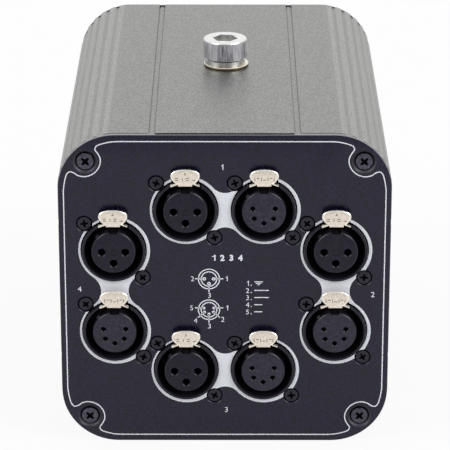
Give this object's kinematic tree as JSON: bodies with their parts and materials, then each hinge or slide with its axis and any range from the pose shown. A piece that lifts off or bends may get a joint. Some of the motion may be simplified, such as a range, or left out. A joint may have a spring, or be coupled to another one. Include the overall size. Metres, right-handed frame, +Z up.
{
  "type": "dmx splitter",
  "caption": "Hanging lighting signal splitter: fluted aluminium housing, black front panel of latching round sockets, rear inputs and mains inlet, and a top bolt for a clamp.",
  "frame": {"origin": "centre of the flat bottom face that the unit rests on", "axes": "+Z up towards the hanging bolt, -Y out of the front panel, +X to the right seen from the front"},
  "size_m": [0.114, 0.1659, 0.1242],
  "materials": {
    "housing_metal": "bead-blasted, champagne grey anodised",
    "panel_metal": "black anodised, matt",
    "shell_plastic": "moulded black nylon",
    "insert_plastic": "moulded dark grey nylon",
    "latch_metal": "nickel-plated, satin",
    "screw_metal": "black oxide",
    "bolt_metal": "zinc-plated",
    "board": "green solder mask",
    "rear_plastic": "moulded black plastic"
  },
  "bodies": {
    "root": {"housing": "housing_metal", "front_panel": "panel_metal", "rear_panel": "panel_metal", "out1_3pin_shell": "shell_plastic", "out1_5pin_shell": "shell_plastic", "out2_3pin_shell": "shell_plastic", "out2_5pin_shell": "shell_plastic", "out3_3pin_shell": "shell_plastic", "out3_5pin_shell": "shell_plastic", "out4_3pin_shell": "shell_plastic", "out4_5pin_shell": "shell_plastic", "out1_3pin_insert": "insert_plastic", "out1_5pin_insert": "insert_plastic", "out2_3pin_insert": "insert_plastic", "out2_5pin_insert": "insert_plastic", "out3_3pin_insert": "insert_plastic", "out3_5pin_insert": "insert_plastic", "out4_3pin_insert": "insert_plastic", "out4_5pin_insert": "insert_plastic", "out1_3pin_screw_upper": "screw_metal", "out1_3pin_screw_lower": "screw_metal", "out1_5pin_screw_upper": "screw_metal", "out1_5pin_screw_lower": "screw_metal", "out2_3pin_screw_upper": "screw_metal", "out2_3pin_screw_lower": "screw_metal", "out2_5pin_screw_upper": "screw_metal", "out2_5pin_screw_lower": "screw_metal", "out3_3pin_screw_upper": "screw_metal", "out3_3pin_screw_lower": "screw_metal", "out3_5pin_screw_upper": "screw_metal", "out3_5pin_screw_lower": "screw_metal", "out4_3pin_screw_upper": "screw_metal", "out4_3pin_screw_lower": "screw_metal", "out4_5pin_screw_upper": "screw_metal", "out4_5pin_screw_lower": "screw_metal", "front_screw_lower_left": "screw_metal", "front_screw_upper_left": "screw_metal", "front_screw_lower_right": "screw_metal", "front_screw_upper_right": "screw_metal", "rear_screw_lower_left": "screw_metal", "rear_screw_upper_left": "screw_metal", "rear_screw_lower_right": "screw_metal", "rear_screw_upper_right": "screw_metal", "output_board": "board", "main_board": "board", "input_5pin": "rear_plastic", "input_3pin": "rear_plastic", "mains_inlet": "rear_plastic"},
    "latch_1_3pin": {"out1_3pin_latch": "latch_metal"},
    "latch_1_5pin": {"out1_5pin_latch": "latch_metal"},
    "latch_2_3pin": {"out2_3pin_latch": "latch_metal"},
    "latch_2_5pin": {"out2_5pin_latch": "latch_metal"},
    "latch_3_3pin": {"out3_3pin_latch": "latch_metal"},
    "latch_3_5pin": {"out3_5pin_latch": "latch_metal"},
    "latch_4_3pin": {"out4_3pin_latch": "latch_metal"},
    "latch_4_5pin": {"out4_5pin_latch": "latch_metal"},
    "fuse_tray": {"fuse_drawer": "rear_plastic"},
    "washers": {"flat_washer": "bolt_metal", "spring_washer": "bolt_metal"},
    "bolt": {"mount_bolt": "bolt_metal"}
  },
  "joints": [
    {"name": "latch_1_3pin_press", "type": "hinge", "parent": "root", "child": "latch_1_3pin", "pos_m": [-0.0134, -0.072, 0.09745], "axis": [-1, 0, 0], "range_deg": [0, 12], "stiffness_Nm_per_rad": 0.05, "springref_deg": -11.46},
    {"name": "latch_1_5pin_press", "type": "hinge", "parent": "root", "child": "latch_1_5pin", "pos_m": [0.0134, -0.072, 0.09745], "axis": [-1, 0, 0], "range_deg": [0, 12], "stiffness_Nm_per_rad": 0.05, "springref_deg": -11.46},
    {"name": "latch_2_3pin_press", "type": "hinge", "parent": "root", "child": "latch_2_3pin", "pos_m": [0.0381, -0.072, 0.08275], "axis": [-1, 0, 0], "range_deg": [0, 12], "stiffness_Nm_per_rad": 0.05, "springref_deg": -11.46},
    {"name": "latch_2_5pin_press", "type": "hinge", "parent": "root", "child": "latch_2_5pin", "pos_m": [0.0381, -0.072, 0.05295], "axis": [-1, 0, 0], "range_deg": [0, 12], "stiffness_Nm_per_rad": 0.05, "springref_deg": -11.46},
    {"name": "latch_3_3pin_press", "type": "hinge", "parent": "root", "child": "latch_3_3pin", "pos_m": [-0.0134, -0.072, 0.03825], "axis": [-1, 0, 0], "range_deg": [0, 12], "stiffness_Nm_per_rad": 0.05, "springref_deg": -11.46},
    {"name": "latch_3_5pin_press", "type": "hinge", "parent": "root", "child": "latch_3_5pin", "pos_m": [0.0134, -0.072, 0.03825], "axis": [-1, 0, 0], "range_deg": [0, 12], "stiffness_Nm_per_rad": 0.05, "springref_deg": -11.46},
    {"name": "latch_4_3pin_press", "type": "hinge", "parent": "root", "child": "latch_4_3pin", "pos_m": [-0.0381, -0.072, 0.08275], "axis": [-1, 0, 0], "range_deg": [0, 12], "stiffness_Nm_per_rad": 0.05, "springref_deg": -11.46},
    {"name": "latch_4_5pin_press", "type": "hinge", "parent": "root", "child": "latch_4_5pin", "pos_m": [-0.0381, -0.072, 0.05295], "axis": [-1, 0, 0], "range_deg": [0, 12], "stiffness_Nm_per_rad": 0.05, "springref_deg": -11.46},
    {"name": "fuse_drawer_pull", "type": "slide", "parent": "root", "child": "fuse_tray", "axis": [0, 1, 0], "range_m": [0, 0.018]},
    {"name": "washer_lift", "type": "slide", "parent": "root", "child": "washers", "axis": [0, 0, 1], "range_m": [0, 0.012]},
    {"name": "bolt_turn", "type": "hinge", "parent": "washers", "child": "bolt", "pos_m": [0, 0, 0.114], "axis": [0, 0, 1], "range_deg": [0, 2880]}
  ],
  "couplings": [
    {"joint": "bolt_turn", "follows": "washer_lift", "rad_per_m": 4188.8}
  ]
}
